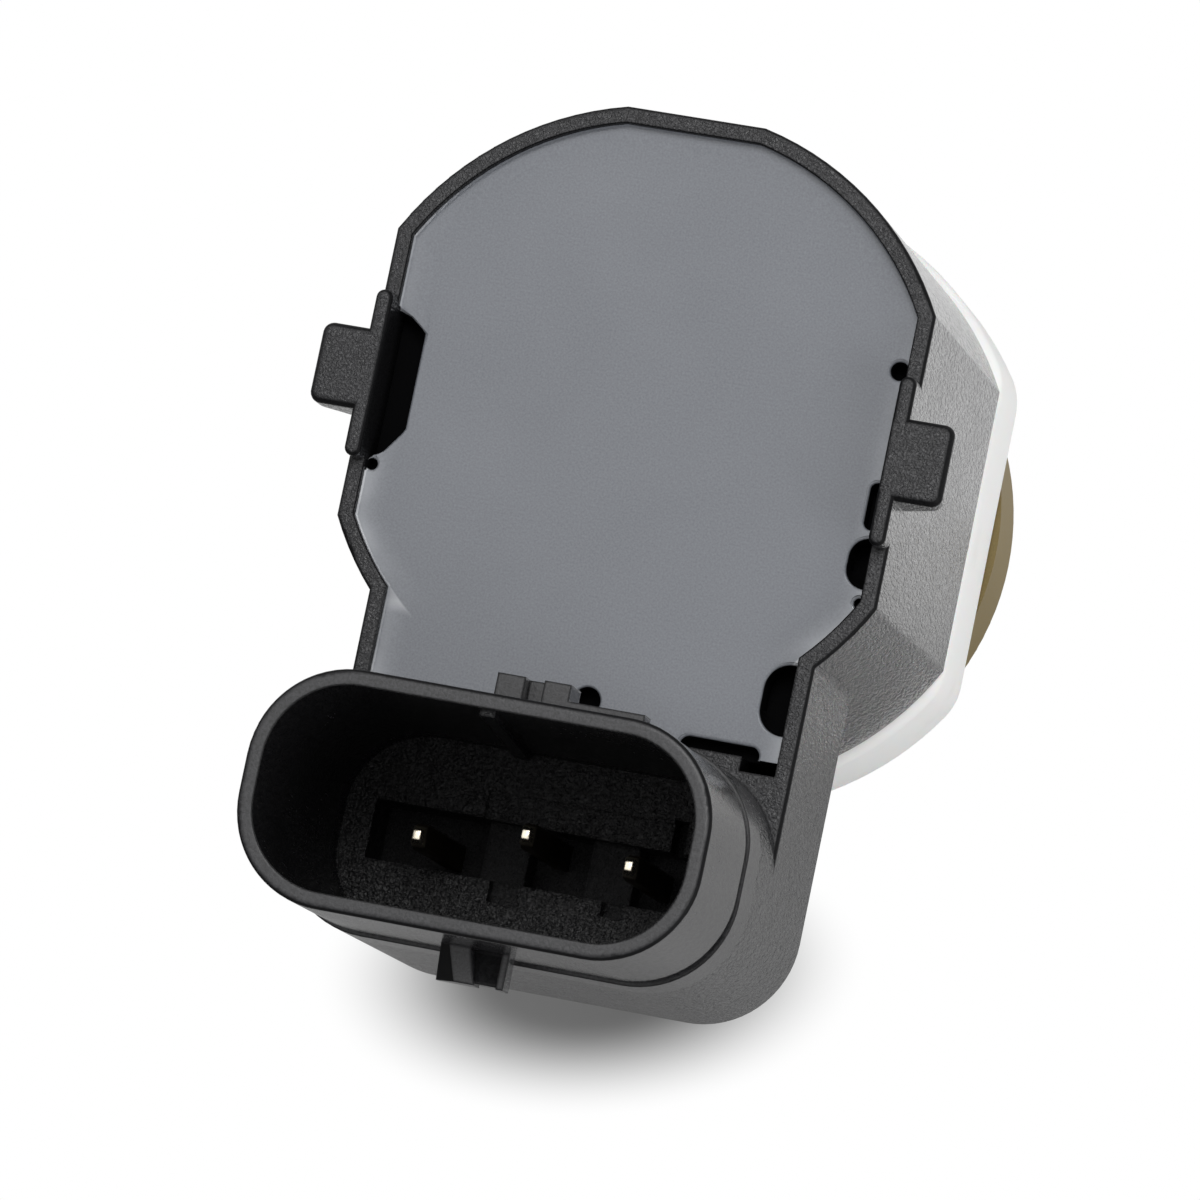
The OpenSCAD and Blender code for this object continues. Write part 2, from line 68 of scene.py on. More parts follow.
class Op(Enum):
    """Sums that a pattern is made with."""

    PLUS = "ADD"
    MINUS = "SUBTRACT"
    TIMES = "MULTIPLY"
    POWER = "POWER"
    ROOT = "SQRT"
    SIZE = "ABSOLUTE"
    LARGER = "MAXIMUM"
    SMALLER = "MINIMUM"
    BELOW = "LESS_THAN"
    ABOVE = "GREATER_THAN"


class Fade(Enum):
    """How a value runs from one end of its range to the other."""

    EVEN = "LINEAR"
    SOFT = "SMOOTHSTEP"


class ShaderBench:
    """One material's node tree, wired by short calls. Patterns read Object coordinates in millimetres."""

    def __init__(self, name: str) -> None:
        """Starts an empty tree with its surface shader.

        Args:
            name: Name of the material.
        """
        self.material = bpy.data.materials.new(name)
        self.material.use_nodes = True
        self.tree = self.material.node_tree
        self.tree.nodes.clear()
        output = self.tree.nodes.new("ShaderNodeOutputMaterial")
        self.surface = self.tree.nodes.new("ShaderNodeBsdfPrincipled")
        self.tree.links.new(self.surface.outputs["BSDF"], output.inputs["Surface"])
        coordinates = self.tree.nodes.new("ShaderNodeTexCoord")
        self.metres: Socket = coordinates.outputs["Object"]
        self.place: Socket = self.stretched((1.0, 1.0, 1.0))

    def put(self, socket: Socket, value: Union[Value, Sequence[float]]) -> None:
        """Links or sets one input.

        Args:
            socket: The input.
            value: A socket to link from, or a plain value.
        """
        if isinstance(value, bpy.types.NodeSocket):
            self.tree.links.new(value, socket)
        else:
            socket.default_value = value

    def stretched(self, factors: Sequence[float]) -> Socket:
        """Coordinates in millimetres, stretched along the axes.

        Args:
            factors: Frequency factor along X, Y and Z.

        Returns:
            The vector socket.
        """
        node = self.tree.nodes.new("ShaderNodeMapping")
        node.inputs["Scale"].default_value = [f / MM for f in factors]
        self.put(node.inputs["Vector"], self.metres)
        return node.outputs["Vector"]

    def noise(self, scale: float, detail: float = 2.0, rough: float = 0.5, twist: float = 0.0,
              place: Optional[Socket] = None) -> Socket:
        """Cloudy noise.

        Args:
            scale: Features per millimetre.
            detail: Octaves.
            rough: Strength of the fine octaves.
            twist: Distortion.
            place: Coordinates, when not the plain ones.

        Returns:
            The value socket, about 0.5 in the mean.
        """
        node = self.tree.nodes.new("ShaderNodeTexNoise")
        self.put(node.inputs["Vector"], place or self.place)
        inputs = {"Scale": scale, "Detail": detail, "Roughness": rough, "Distortion": twist}
        for name, value in inputs.items():
            node.inputs[name].default_value = value
        return node.outputs["Fac"]

    def cells(self, scale: float) -> Socket:
        """Distance to the nearest of scattered points.

        Args:
            scale: Points per millimetre.

        Returns:
            The value socket.
        """
        node = self.tree.nodes.new("ShaderNodeTexVoronoi")
        self.put(node.inputs["Vector"], self.place)
        node.inputs["Scale"].default_value = scale
        return node.outputs["Distance"]

    def maths(self, operation: Op, first: Value, second: Value = 0.0) -> Socket:
        """One sum of two values.

        Args:
            operation: Which sum.
            first: First value.
            second: Second value.

        Returns:
            The result.
        """
        node = self.tree.nodes.new("ShaderNodeMath")
        node.operation = operation.value
        self.put(node.inputs[0], first)
        self.put(node.inputs[1], second)
        return node.outputs[0]

    def span(self, value: Value, low: float, high: float, start: float = 0.0, end: float = 1.0) -> Socket:
        """A value brought from one range to another and held at its ends.

        Args:
            value: What is brought over.
            low: Start of its range.
            high: End of its range.
            start: Result at the start.
            end: Result at the end.

        Returns:
            The result.
        """
        node = self.tree.nodes.new("ShaderNodeMapRange")
        for name, number in (("From Min", low), ("From Max", high), ("To Min", start), ("To Max", end)):
            node.inputs[name].default_value = number
        self.put(node.inputs["Value"], value)
        return node.outputs["Result"]

    def blend(self, share: Value, first: Union[Colour, Socket], second: Union[Colour, Socket]) -> Socket:
        """Two colours mixed.

        Args:
            share: Share of the second.
            first: First colour.
            second: Second colour.

        Returns:
            The colour socket.
        """
        node = self.tree.nodes.new("ShaderNodeMix")
        node.data_type = "RGBA"
        self.put(node.inputs["Factor"], share)
        for socket, colour in ((node.inputs[6], first), (node.inputs[7], second)):
            self.put(socket, colour if isinstance(colour, bpy.types.NodeSocket) else (*colour, 1.0))
        return node.outputs[2]

    def bump(self, height: Socket, depth_mm: float, under: Optional[Socket] = None,
             strength: Value = 1.0) -> Socket:
        """Relief of a given depth.

        Args:
            height: Height pattern from 0 to 1.
            depth_mm: Depth in millimetres.
            under: Normal that the relief is laid on.
            strength: Share of the relief that shows.

        Returns:
            The normal socket.
        """
        node = self.tree.nodes.new("ShaderNodeBump")
        node.inputs["Distance"].default_value = depth_mm * MM
        self.put(node.inputs["Strength"], strength)
        self.put(node.inputs["Height"], height)
        if under is not None:
            self.put(node.inputs["Normal"], under)
        return node.outputs["Normal"]

    def added(self, first: Value, second: Value, share: float) -> Socket:
        """One value plus a share of another."""
        return self.maths(Op.PLUS, first, self.maths(Op.TIMES, second, share))

    def weighed(self, first: Value, first_share: float, second: Value, second_share: float) -> Socket:
        """Shares of two values, added."""
        return self.added(self.maths(Op.TIMES, first, first_share), second, second_share)

    def squared_distance(self, x: Socket, y: Socket) -> Socket:
        """Square of a point's distance from the part's axis."""
        return self.maths(Op.PLUS, self.maths(Op.TIMES, x, x), self.maths(Op.TIMES, y, y))

    def varied(self, noise: Socket, middle: float, less: float, more: float) -> Socket:
        """A value that swings about its middle with a noise."""
        return self.span(noise, *NOISE_RANGE, middle - less, middle + more)

    def soft_edges(self, radius_mm: Value) -> Socket:
        """Normals that run smoothly round sharp edges.

        Args:
            radius_mm: Radius of the small rounding.

        Returns:
            The normal socket.
        """
        node = self.tree.nodes.new("ShaderNodeBevel")
        node.samples = BEVEL_SAMPLES
        linked = isinstance(radius_mm, bpy.types.NodeSocket)
        self.put(node.inputs["Radius"], self.maths(Op.TIMES, radius_mm, MM) if linked else radius_mm * MM)
        return node.outputs["Normal"]

    def edge_share(self, rounded: Socket) -> Socket:
        """How near a point lies to a sharp edge.

        Args:
            rounded: Normals from soft_edges.

        Returns:
            0 on a plain face, towards 1 at an edge.
        """
        geometry = self.tree.nodes.new("ShaderNodeNewGeometry")
        dot = self.tree.nodes.new("ShaderNodeVectorMath")
        dot.operation = "DOT_PRODUCT"
        self.put(dot.inputs[0], geometry.outputs["True Normal"])
        self.put(dot.inputs[1], rounded)
        return self.span(dot.outputs["Value"], *EDGE_TURN)

    def facing_rear(self) -> Socket:
        """How far a face looks along the part's axis.

        Returns:
            1 for the rear faces, 0 for the walls.
        """
        geometry = self.tree.nodes.new("ShaderNodeNewGeometry")
        split = self.tree.nodes.new("ShaderNodeSeparateXYZ")
        self.put(split.inputs[0], geometry.outputs["Normal"])
        return split.outputs[2]

    def levelled(self, level: float, steep: float) -> Socket:
        """Normals of a nearly level surface, drawn upright.

        Args:
            level: Upward share of the normal from which it is upright.
            steep: Upward share below which the normal stays as it is.

        Returns:
            The normal socket.
        """
        geometry = self.tree.nodes.new("ShaderNodeNewGeometry")
        split = self.tree.nodes.new("ShaderNodeSeparateXYZ")
        self.put(split.inputs[0], geometry.outputs["True Normal"])
        mix = self.tree.nodes.new("ShaderNodeMix")
        mix.data_type = "VECTOR"
        self.put(mix.inputs["Factor"], self.span(split.outputs[2], steep, level))
        self.put(mix.inputs[4], geometry.outputs["True Normal"])
        self.put(mix.inputs[5], (0.0, 0.0, 1.0))
        return mix.outputs[1]

    def axes(self) -> Tuple[Socket, Socket, Socket]:
        """Places of a point along the axes.

        Returns:
            X, Y and Z in millimetres.
        """
        node = self.tree.nodes.new("ShaderNodeSeparateXYZ")
        self.put(node.inputs[0], self.place)
        return node.outputs[0], node.outputs[1], node.outputs[2]

    def dress(self, **inputs: Union[Value, Sequence[float]]) -> bpy.types.Material:
        """Sets the surface shader's inputs by name, with _ for a space.

        Args:
            inputs: Values or sockets.

        Returns:
            The finished material.
        """
        for name, value in inputs.items():
            socket = self.surface.inputs[name.replace("_", " ")]
            colour = isinstance(value, tuple) and len(value) == 3 and socket.type == "RGBA"
            self.put(socket, (*value, 1.0) if colour else value)
        return self.material


@dataclass(frozen=True)
class MouldedBlack:
    """Black moulded plastic: wrinkled on the body, smoother and speckled in the plug socket, with painted
    shade darkening its edges, the socket's hollow and the inner walls of the pocket and lugs.
    """

    name: str = "moulded_black"
    dark: Colour = (0.006, 0.006, 0.0066)
    light: Colour = (0.042, 0.042, 0.0452)
    # Colours of painted shade: one for the edges and roundings, one for the socket's hollow and the inner
    # walls of the pocket and lugs.
    painted_edge_shade: Colour = (0.003, 0.003, 0.0034)
    painted_recess_shade: Colour = (0.0028, 0.0028, 0.0032)
    roughness: float = 0.34
    wall_roughness: float = 0.16
    skin_gloss: float = 0.33
    skin_roughness: float = 0.12
    plain_edge: float = 0.5
    dull_edge: float = 0.08
    wrinkle: float = 6.0
    wrinkle_mm: float = 0.055
    drawn: float = 0.32
    rear_grain: float = 8.1
    cross_grain: float = 13.2
    cloud: float = 0.16
    speckle: float = 6.4
    speckle_mm: float = 0.07
    edge_mm: float = 0.2
    corner_mm: float = 0.45
    socket_half: Tuple[float, float] = (10.03, 4.735)
    socket_corner: float = 3.865
    socket_y: float = -20.87
    socket_low: float = 23.6
    floor_z: float = 27.0
    rim_z: float = 28.2
    smooth_z: Tuple[float, float] = (31.25, 31.55)
    edge_z: Tuple[float, float] = (27.3, 27.7)
    wall_lean: Tuple[float, float] = (0.3, 0.05)
    edge_lean: Tuple[float, float] = (0.97, 0.8)
    flank_lean: Tuple[float, float] = (0.06, 0.3)
    pocket_half: float = 12.24
    pocket_r: float = 13.96
    pocket_top: float = 13.58
    pocket_low: float = 20.0
    bar_rise: float = 1.4
    leg_half: float = 9.97
    leg_y: Tuple[float, float] = (-15.4, -7.0)
    leg_drop: float = 0.08
    corner_from: Tuple[float, float] = (14.0, 14.3)
    corner_z: Tuple[float, float] = (10.6, 11.4)
    shroud_show: float = 0.12
    rear_show: float = 0.95
    edge_show: float = 0.3

    def material(self) -> bpy.types.Material:
        """Builds the material.

        Returns:
            The material.
        """
        b = ShaderBench(self.name)
        x, y, z = b.axes()
        rear = b.facing_rear()
        inside = self.inside_socket(b, x, y, z)
        pocket = self.inside_pocket(b, x, y, z)
        floor = b.maths(Op.TIMES, inside, b.maths(Op.BELOW, z, self.rim_z))
        outer = b.maths(Op.MINUS, 1.0, inside)
        shroud = b.maths(Op.TIMES, outer, b.span(z, *self.smooth_z))
        along = b.stretched((1.0, 1.0, self.drawn))
        folds = b.span(b.noise(self.wrinkle, 1.0, 0.4, 0.8, along), *NOISE_RANGE)
        grain = b.noise(self.cross_grain, 1.0, 0.5, 0.0, along)
        wall = b.span(b.maths(Op.SIZE, rear), *self.wall_lean)
        fine = b.span(b.noise(self.rear_grain, 1.0, 0.4, 0.8), *NOISE_RANGE)
        level = b.maths(Op.TIMES, fine, b.maths(Op.MINUS, 1.0, wall))
        folds = b.maths(Op.PLUS, b.maths(Op.TIMES, folds, wall), level)
        height = b.weighed(folds, 0.85, grain, 0.3)
        rounded = b.soft_edges(self.edge_radius(b, x, y, z))
        # Rounded rear faces and sharp edges together make the mask of edges that get painted shade, plus a
        # rougher, duller skin.
        turned = b.maths(Op.TIMES, b.span(rear, *self.edge_lean), b.span(rear, *self.flank_lean))
        edge = b.maths(Op.LARGER, b.maths(Op.TIMES, b.edge_share(rounded), 0.8), turned)
        edge = b.maths(Op.TIMES, edge, b.span(z, *self.edge_z))
        show = b.maths(Op.TIMES, b.span(shroud, 0.0, 1.0, 1.0, self.shroud_show),
                       b.span(wall, 0.0, 1.0, self.rear_show, 1.0))
        show = b.maths(Op.TIMES, show, b.span(edge, 0.0, 1.0, 1.0, self.edge_show))
        skin = b.bump(height, self.wrinkle_mm, rounded, show)
        sparkle = b.bump(b.cells(self.speckle), self.speckle_mm, skin, floor)
        cloud = b.noise(self.cloud, 3.0)
        colour = b.blend(b.weighed(folds, 0.65, cloud, 0.35), self.dark, self.light)
        # Painted shade: the edges are darkened towards the edge shade colour.
        colour = b.blend(b.maths(Op.TIMES, edge, 0.9), colour, self.painted_edge_shade)
        # Painted shade: the socket's hollow and the inner walls of the pocket and lugs are darkened towards
        # the recess shade colour.
        recess_shade = b.maths(Op.LARGER, b.maths(Op.TIMES, inside, 0.8), pocket)
        colour = b.blend(recess_shade, colour, self.painted_recess_shade)
        gloss = b.span(wall, 0.0, 1.0, self.roughness, self.wall_roughness)
        gloss = b.maths(Op.PLUS, gloss, b.varied(cloud, 0.0, 0.03, 0.04))
        pit = b.maths(Op.TIMES, inside, b.span(z, self.floor_z - 0.2, self.floor_z - 1.4))
        deep = b.maths(Op.LARGER, pit, pocket)
        for place, more in ((folds, 0.1), (edge, 0.14), (floor, 0.06), (deep, 0.4)):
            gloss = b.added(gloss, place, more)
        skin_gloss = b.maths(Op.TIMES, b.maths(Op.TIMES, wall, outer), self.skin_gloss)
        dull = b.span(b.maths(Op.LARGER, edge, pocket), 0.0, 1.0, self.plain_edge, self.dull_edge)
        return b.dress(Base_Color=colour, Roughness=gloss, Normal=sparkle, IOR=RESIN_IOR,
                       Coat_Weight=skin_gloss, Coat_Roughness=self.skin_roughness,
                       Coat_Normal=sparkle, Specular_IOR_Level=dull)

    def inside_socket(self, b: ShaderBench, x: Socket, y: Socket, z: Socket) -> Socket:
        """Marks the hollow of the plug socket, with its round corners.

        Args:
            b: The material's bench.
            x: X of a point in millimetres.
            y: Y of a point.
            z: Z of a point.

        Returns:
            1 inside the hollow, otherwise 0.
        """
        squares: List[Socket] = []
        for value, half in zip((x, b.maths(Op.MINUS, y, self.socket_y)), self.socket_half):
            beyond = b.maths(Op.MINUS, b.maths(Op.SIZE, value), half - self.socket_corner)
            squares.append(b.maths(Op.POWER, b.maths(Op.LARGER, beyond, 0.0), 2.0))
        inside = b.maths(Op.BELOW, b.maths(Op.PLUS, *squares), self.socket_corner ** 2)
        return b.maths(Op.TIMES, inside, b.maths(Op.ABOVE, z, self.socket_low))

    def inside_pocket(self, b: ShaderBench, x: Socket, y: Socket, z: Socket) -> Socket:
        """Marks the inner walls of the pocket and of the side lugs, which get painted shade and a rougher,
        duller skin.

        Args:
            b: The material's bench.
            x: X of a point in millimetres.
            y: Y of a point.
            z: Z of a point.

        Returns:
            1 on the inner walls, otherwise 0.
        """
        side = b.maths(Op.SIZE, x)
        body = b.maths(Op.BELOW, b.squared_distance(x, y), self.pocket_r ** 2)
        for value, limit in ((side, self.pocket_half), (y, self.pocket_top), (z, self.rim_z + self.bar_rise)):
            body = b.maths(Op.TIMES, body, b.maths(Op.BELOW, value, limit))
        leg = b.maths(Op.ABOVE, y, self.leg_y[0])
        for value, limit in ((side, self.leg_half), (y, self.leg_y[1]), (z, self.rim_z - self.leg_drop)):
            leg = b.maths(Op.TIMES, leg, b.maths(Op.BELOW, value, limit))
        return b.maths(Op.TIMES, b.maths(Op.LARGER, body, leg), b.maths(Op.ABOVE, z, self.pocket_low))

    def edge_radius(self, b: ShaderBench, x: Socket, y: Socket, z: Socket) -> Socket:
        """Radius of the edges in millimetres: wide on the body's upright edges, small elsewhere.

        Args:
            b: The material's bench.
            x: X of a point in millimetres.
            y: Y of a point.
            z: Z of a point.

        Returns:
            The radius.
        """
        near, far = self.corner_from
        outside = b.span(b.squared_distance(x, y), near ** 2, far ** 2)
        upright = b.maths(Op.TIMES, outside, b.span(z, self.rim_z - 0.6, self.rim_z - 1.2))
        upright = b.maths(Op.TIMES, upright, b.span(z, *self.corner_z))
        return b.span(upright, 0.0, 1.0, self.edge_mm, self.corner_mm)


@dataclass(frozen=True)
class CastResin:
    """Grey glossy casting with a faint cloudiness and a fine grain, with a painted sheen where it creeps up
    the walls and a painted glint line at the wall, both strongest towards the lower side, and painted shade
    below its level at the voids.
    """

    name: str = "cast_resin"
    dark: Colour = (0.122, 0.13, 0.147)
    light: Colour = (0.2, 0.211, 0.233)
    # Colours of painted light: a painted sheen where the casting creeps up the walls, a painted glint line at
    # the wall, and painted shade below the level at the voids.
    pale: Colour = (0.38, 0.395, 0.42)
    painted_glint: Colour = (0.52, 0.53, 0.55)
    painted_void_shade: Colour = (0.002, 0.002, 0.0023)
    creep_mm: float = 1.5
    glint_mm: float = 0.09
    pocket: Tuple[float, float, float, float] = (12.2, 13.92, 13.54, 9.93)
    leg_y: float = -9.75
    leg_fade: Tuple[float, float] = (1.2, 0.8)
    lit_y: Tuple[float, float] = (9.0, 1.0)
    upright_from: Tuple[float, float] = (0.97, 0.95)
    roughness: float = 0.16
    cloud: float = 0.11
    patch: float = 0.3
    grain: float = 10.0
    wave: float = 0.14
    wave_mm: float = 0.05
    grain_mm: float = 0.003
    level: float = 27.6

    def material(self) -> bpy.types.Material:
        """Builds the material.

        Returns:
            The material.
        """
        b = ShaderBench(self.name)
        x, y, z = b.axes()
        # Painted shade: below the casting's level, at the mouths of the voids, the colour runs to near black
        # and the skin turns rough.
        depth = b.span(z, self.level - 0.03, self.level - 0.09)
        cloud = b.noise(self.cloud, 3.0, 0.55, 0.6)
        patches = b.span(b.noise(self.patch, 2.0), 0.4, 0.6)
        # Share of the painted sheen and glint: strongest towards the lower side, none towards the top.
        lower = b.span(y, *self.lit_y)
        grain = b.noise(self.grain, 2.0, 0.6)
        tone = b.weighed(cloud, 0.35, b.span(grain, 0.28, 0.72), 0.6)
        colour = b.blend(tone, self.dark, self.light)
        # Painted sheen: the colour turns pale near the walls, broken up in patches.
        creep_sheen = b.maths(Op.TIMES, b.maths(Op.POWER, self.near_wall(b, x, y, self.creep_mm), 2.2), lower)
        colour = b.blend(b.maths(Op.TIMES, creep_sheen, b.span(patches, 0.0, 1.0, 0.45, 0.9)), colour, self.pale)
        # Painted glint: a thin bright line right at the wall, in patches and towards the lower side.
        line = b.maths(Op.TIMES, b.span(self.near_wall(b, x, y, self.glint_mm), 0.0, 0.3), lower)
        colour = b.blend(b.maths(Op.TIMES, line, b.span(patches, 0.0, 1.0, 0.3, 0.9)), colour, self.painted_glint)
        # Painted shade below the level, towards the void shade colour.
        colour = b.blend(depth, colour, self.painted_void_shade)
        slow = b.bump(b.noise(self.wave, 1.0), self.wave_mm, b.levelled(*self.upright_from))
        fine = b.bump(grain, self.grain_mm, slow)
        gloss = b.varied(cloud, self.roughness, 0.03, 0.05)
        gloss = b.added(gloss, depth, 0.75)
        return b.dress(Base_Color=colour, Roughness=gloss, Normal=fine, IOR=RESIN_IOR)

    def near_wall(self, b: ShaderBench, x: Socket, y: Socket, width: float) -> Socket:
        """How near a point lies to the pocket's wall.

        Args:
            b: The material's bench.
            x: X of a point in millimetres.
            y: Y of a point.
            width: Distance from which the wall counts as near.

        Returns:
            0 away from the wall, rising to 1 at it.
        """
        half, radius, top, leg = self.pocket
        side = b.maths(Op.SIZE, x)
        away = b.maths(Op.ROOT, b.squared_distance(x, y))
        body = b.maths(Op.LARGER, b.span(side, half - width, half), b.span(away, radius - width, radius))
        body = b.maths(Op.LARGER, body, b.span(y, top - width, top))
        below, above = self.leg_fade
        body = b.maths(Op.TIMES, body, b.span(y, self.leg_y - below, self.leg_y + above))
        lower = b.span(side, leg - width, leg)
        lower = b.maths(Op.TIMES, lower, b.span(y, self.leg_y, self.leg_y - above))
        return b.maths(Op.LARGER, body, lower)


@dataclass(frozen=True)
class VoidShade:
    """Painted shade inside the casting's voids: a dull, near-black finish on the faces below its level."""

    name: str = "void_shade"
    dark: Colour = (0.0012, 0.0012, 0.0014)
    light: Colour = (0.003, 0.003, 0.0034)
    roughness: float = 0.9

    def material(self) -> bpy.types.Material:
        """Builds the material.

        Returns:
            The material.
        """
        b = ShaderBench(self.name)
        grain = b.noise(6.0, 2.0)
        gloss = b.varied(grain, self.roughness, 0.05, 0.05)
        return b.dress(Base_Color=b.blend(grain, self.dark, self.light), Roughness=gloss,
                       Normal=b.bump(grain, 0.01), Specular_IOR_Level=0.05)


@dataclass(frozen=True)
class SoftWhite:
    """White silicone, matt, with a powdery skin and faint handling marks."""

    name: str = "soft_white"
    clean: Colour = (0.88, 0.88, 0.87)
    marked: Colour = (0.8, 0.8, 0.785)
    roughness: float = 0.55

    def material(self) -> bpy.types.Material:
        """Builds the material.

        Returns:
            The material.
        """
        b = ShaderBench(self.name)
        marks = b.span(b.noise(0.22, 4.0, 0.6), 0.52, 0.75)
        skin = b.noise(5.0, 2.0)
        normal = b.bump(skin, 0.006, b.soft_edges(0.1))
        gloss = b.varied(skin, self.roughness, 0.07, 0.07)
        return b.dress(Base_Color=b.blend(marks, self.clean, self.marked), Roughness=gloss, Normal=normal,
                       Subsurface_Weight=0.15, Subsurface_Scale=0.001, IOR=1.41)


@dataclass(frozen=True)
class BronzePaint:
    """Bronze metallic paint with fine flakes under a clear coat."""

    name: str = "bronze_paint"
    dark: Colour = (0.145, 0.108, 0.042)
    light: Colour = (0.235, 0.178, 0.076)
    roughness: float = 0.55

    def material(self) -> bpy.types.Material:
        """Builds the material.

        Returns:
            The material.
        """
        b = ShaderBench(self.name)
        flakes = b.cells(14.0)
        cloud = b.noise(0.3, 3.0)
        tone = b.weighed(flakes, 0.7, cloud, 0.4)
        peel = b.bump(b.noise(1.6, 2.0), 0.006)
        gloss = b.span(flakes, 0.1, 0.7, self.roughness - 0.08, self.roughness + 0.08)
        return b.dress(Base_Color=b.blend(tone, self.dark, self.light), Roughness=gloss, Normal=peel,
                       Metallic=0.25, Coat_Weight=0.04, Coat_Roughness=0.3, IOR=1.4,
                       Specular_IOR_Level=0.25)


@dataclass(frozen=True)
class PlatedContact:
    """Pale gold plating with drawing marks along its length, bright at the tip, with painted shade darkening
    it below the tip.
    """

    name: str = "plated_contact"
    dark: Colour = (0.75, 0.62, 0.4)
    light: Colour = (0.97, 0.93, 0.83)
    painted_shank_shade: Colour = (0.05, 0.036, 0.022)
    roughness: float = 0.24
    tip_z: float = 32.2
    mark_stretch: Tuple[float, float, float] = (24.0, 24.0, 1.2)

    def material(self) -> bpy.types.Material:
        """Builds the material.

        Returns:
            The material.
        """
        b = ShaderBench(self.name)
        marks = b.noise(1.0, 3.0, 0.6, 0.0, b.stretched(self.mark_stretch))
        cloud = b.noise(0.9, 2.0)
        tone = b.weighed(marks, 0.6, cloud, 0.5)
        height = b.maths(Op.PLUS, b.axes()[2], b.varied(cloud, 0.0, 0.12, 0.12))
        # Painted shade: below the tip the colour runs to the dark shank shade colour and the skin turns
        # rougher.
        below = b.span(height, self.tip_z - 0.25, self.tip_z - 0.75)
        colour = b.blend(below, b.blend(tone, self.dark, self.light), self.painted_shank_shade)
        normal = b.bump(marks, 0.004, b.soft_edges(0.06))
        gloss = b.varied(marks, self.roughness, 0.06, 0.1)
        gloss = b.added(gloss, below, 0.2)
        return b.dress(Base_Color=colour, Roughness=gloss, Normal=normal, Metallic=1.0)


@dataclass(frozen=True)
class InnerFinish:
    """A plain material of a piece inside the housing, with its own grain and relief."""

    name: str
    dark: Colour
    light: Colour
    roughness: float
    grain: float
    depth_mm: float
    metallic: float = 0.0

    def material(self) -> bpy.types.Material:
        """Builds the material.

        Returns:
            The material.
        """
        b = ShaderBench(self.name)
        grain = b.noise(self.grain, 3.0, 0.55, 0.3)
        cloud = b.noise(self.grain * 0.12, 2.0)
        tone = b.weighed(grain, 0.55, cloud, 0.5)
        normal = b.bump(grain, self.depth_mm, b.soft_edges(0.06))
        gloss = b.varied(grain, self.roughness, 0.06, 0.08)
        return b.dress(Base_Color=b.blend(tone, self.dark, self.light), Roughness=gloss, Normal=normal,
                       Metallic=self.metallic)


def dress_nodes(names: Sequence[str], material: bpy.types.Material) -> None:
    """Gives solids of the frame one finish.

    Args:
        names: Names of the nodes.
        material: The finish.
    """
    for name in names:
        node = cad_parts[name]
        node.data.materials.clear()
        node.data.materials.append(material)
        LOG.info("dressed %s with %s", name, material.name)


def add_piece(bm: bmesh.types.BMesh, name: str, node: str,
              sharp_deg: float = PLAIN_SHARP_DEG) -> bpy.types.Object:
    """Makes a piece from a finished mesh and lets it stand for a solid of the frame.

    Args:
        bm: The mesh, which is freed.
        name: Name of the new piece.
        node: Name of the solid.
        sharp_deg: Angle from which an edge stays sharp.

    Returns:
        The new piece.
    """
    bmesh.ops.recalc_face_normals(bm, faces=bm.faces[:])
    mesh = bpy.data.meshes.new(name)
    bm.to_mesh(mesh)
    bm.free()
    mesh.polygons.foreach_set("use_smooth", [True] * len(mesh.polygons))
    mesh.set_sharp_from_angle(angle=radians(sharp_deg))
    piece = bpy.data.objects.new(name, mesh)
    bpy.context.scene.collection.objects.link(piece)
    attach(piece, BODY)
    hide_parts(node)
    LOG.info("built %s for %s: %d faces", name, node, len(mesh.polygons))
    return piece


def merged_copy(node: str) -> bmesh.types.BMesh:
    """A solid's mesh with its corners merged.

    Args:
        node: Name of the solid.

    Returns:
        The mesh.
    """
    bm = bmesh.new()
    bm.from_mesh(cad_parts[node].data)
    bmesh.ops.remove_doubles(bm, verts=bm.verts[:], dist=0.0005 * MM)
    return bm


def rounded_copy(node: str, name: str, radius_mm: float) -> bpy.types.Object:
    """A copy of a solid with its sharp edges rounded, which stands for that solid.

    Args:
        node: Name of the solid.
        name: Name of the new piece.
        radius_mm: Rounding.

    Returns:
        The new piece.
    """
    bm = merged_copy(node)
    bmesh.ops.dissolve_limit(bm, angle_limit=radians(1.0), verts=bm.verts[:], edges=bm.edges[:])
    sharp = [e for e in bm.edges if len(e.link_faces) == 2 and e.calc_face_angle(0.0) > radians(25.0)]
    bmesh.ops.bevel(bm, geom=sharp, offset=radius_mm * MM, offset_type="OFFSET", segments=3, profile=0.5,
                    affect="EDGES", material=-1, clamp_overlap=True)
    return add_piece(bm, name, node)


